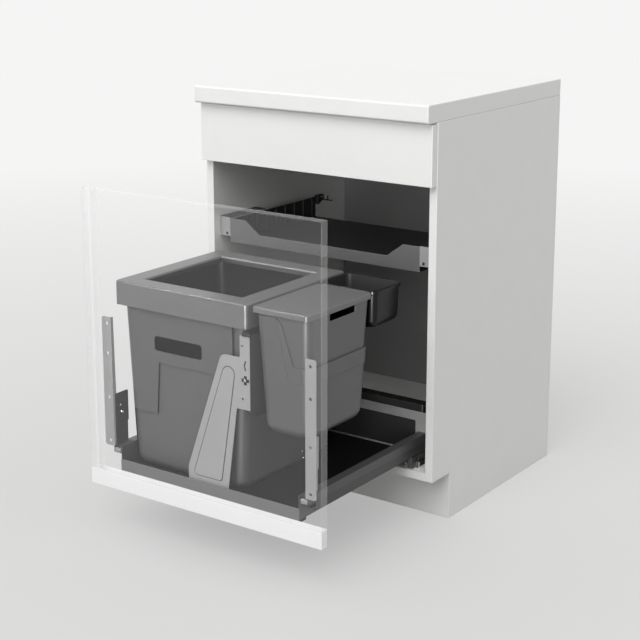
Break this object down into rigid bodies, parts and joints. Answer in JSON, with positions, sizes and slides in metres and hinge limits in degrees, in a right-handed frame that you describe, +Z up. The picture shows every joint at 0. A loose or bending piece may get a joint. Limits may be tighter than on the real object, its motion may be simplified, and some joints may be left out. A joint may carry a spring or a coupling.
{
  "type": "pull out trash cabinet",
  "caption": "Kitchen base cabinet with a pull-out frame on runners that carries a large collared bin, a small lidded bin and an open caddy behind a tall front panel, under a storage shelf.",
  "frame": {"origin": "on the floor, under the middle of the whole object with the sorter pulled out as in the picture", "axes": "+Z up, +Y from the front towards the wall, +X to the right seen from the front"},
  "size_m": [0.6, 0.941, 0.908],
  "materials": {
    "white_board": "satin",
    "interior_board": "matte",
    "ghosted_front": "satin",
    "grey_steel": "satin",
    "light_steel": "satin",
    "zinc_steel": "satin",
    "bin_plastic": "matte",
    "collar_plastic": "matte",
    "dark_plastic": "matte",
    "black_plastic": "matte",
    "black_mat": "matte"
  },
  "bodies": {
    "cabinet": {"side_panel_left": "white_board", "side_panel_right": "white_board", "bottom_panel": "interior_board", "plinth_board": "white_board", "back_panel": "interior_board", "front_cross_rail": "interior_board", "rear_cross_rail": "interior_board", "worktop": "white_board", "fascia_panel": "white_board", "storage_shelf": "dark_plastic", "shelf_end_block_left": "white_board", "shelf_end_block_right": "white_board", "shelf_rear_hook_left": "black_plastic", "shelf_rear_hook_right": "black_plastic", "runner_cabinet_member_left": "zinc_steel", "runner_cabinet_member_right": "zinc_steel"},
    "runner_middle_left": {"runner_middle_member_left": "zinc_steel"},
    "runner_middle_right": {"runner_middle_member_right": "zinc_steel"},
    "sorter": {"front_panel": "ghosted_front", "panel_strip_left": "light_steel", "panel_strip_right": "light_steel", "side_bracket_left": "light_steel", "side_bracket_right": "light_steel", "bracket_cam_left": "zinc_steel", "bracket_cam_right": "zinc_steel", "frame_side_rail_left": "grey_steel", "frame_side_rail_right": "grey_steel", "frame_front_rail": "grey_steel", "frame_rear_wall": "grey_steel", "tray_floor": "grey_steel", "floor_mat": "black_mat", "rear_pad": "black_mat", "rear_cover": "black_plastic", "frame_foot_left": "black_plastic", "frame_foot_right": "black_plastic", "centre_bracket": "light_steel", "centre_cam": "zinc_steel", "carrier_plate": "grey_steel", "carrier_cap": "black_plastic", "runner_drawer_member_left": "zinc_steel", "runner_drawer_member_right": "zinc_steel"},
    "large_bin": {"large_bin": "bin_plastic"},
    "collar": {"bin_collar": "collar_plastic"},
    "holder": {"small_bin_holder": "bin_plastic"},
    "bucket": {"small_bucket": "bin_plastic"},
    "lid": {"bucket_lid": "collar_plastic"},
    "caddy": {"caddy": "dark_plastic"}
  },
  "joints": [
    {"name": "pull_out", "type": "slide", "parent": "cabinet", "child": "sorter", "axis": [0, -1, 0], "range_m": [-0.38, 0.07]},
    {"name": "middle_left_slide", "type": "slide", "parent": "cabinet", "child": "runner_middle_left", "axis": [0, -1, 0], "range_m": [-0.19, 0.035]},
    {"name": "middle_right_slide", "type": "slide", "parent": "cabinet", "child": "runner_middle_right", "axis": [0, -1, 0], "range_m": [-0.19, 0.035]},
    {"name": "large_bin_lift", "type": "slide", "parent": "sorter", "child": "large_bin", "axis": [0, 0, 1], "range_m": [0, 0.3]},
    {"name": "collar_lift", "type": "slide", "parent": "large_bin", "child": "collar", "axis": [0, 0, 1], "range_m": [0, 0.1]},
    {"name": "holder_lift", "type": "slide", "parent": "sorter", "child": "holder", "axis": [0, 0, 1], "range_m": [0, 0.25]},
    {"name": "bucket_lift", "type": "slide", "parent": "holder", "child": "bucket", "axis": [0, 0, 1], "range_m": [0, 0.25]},
    {"name": "lid_lift", "type": "slide", "parent": "bucket", "child": "lid", "axis": [0, 0, 1], "range_m": [0, 0.1]},
    {"name": "caddy_lift", "type": "slide", "parent": "sorter", "child": "caddy", "axis": [0, 0, 1], "range_m": [0, 0.15]}
  ],
  "couplings": [
    {"joint": "middle_left_slide", "follows": "pull_out", "ratio": 0.5},
    {"joint": "middle_right_slide", "follows": "pull_out", "ratio": 0.5}
  ]
}
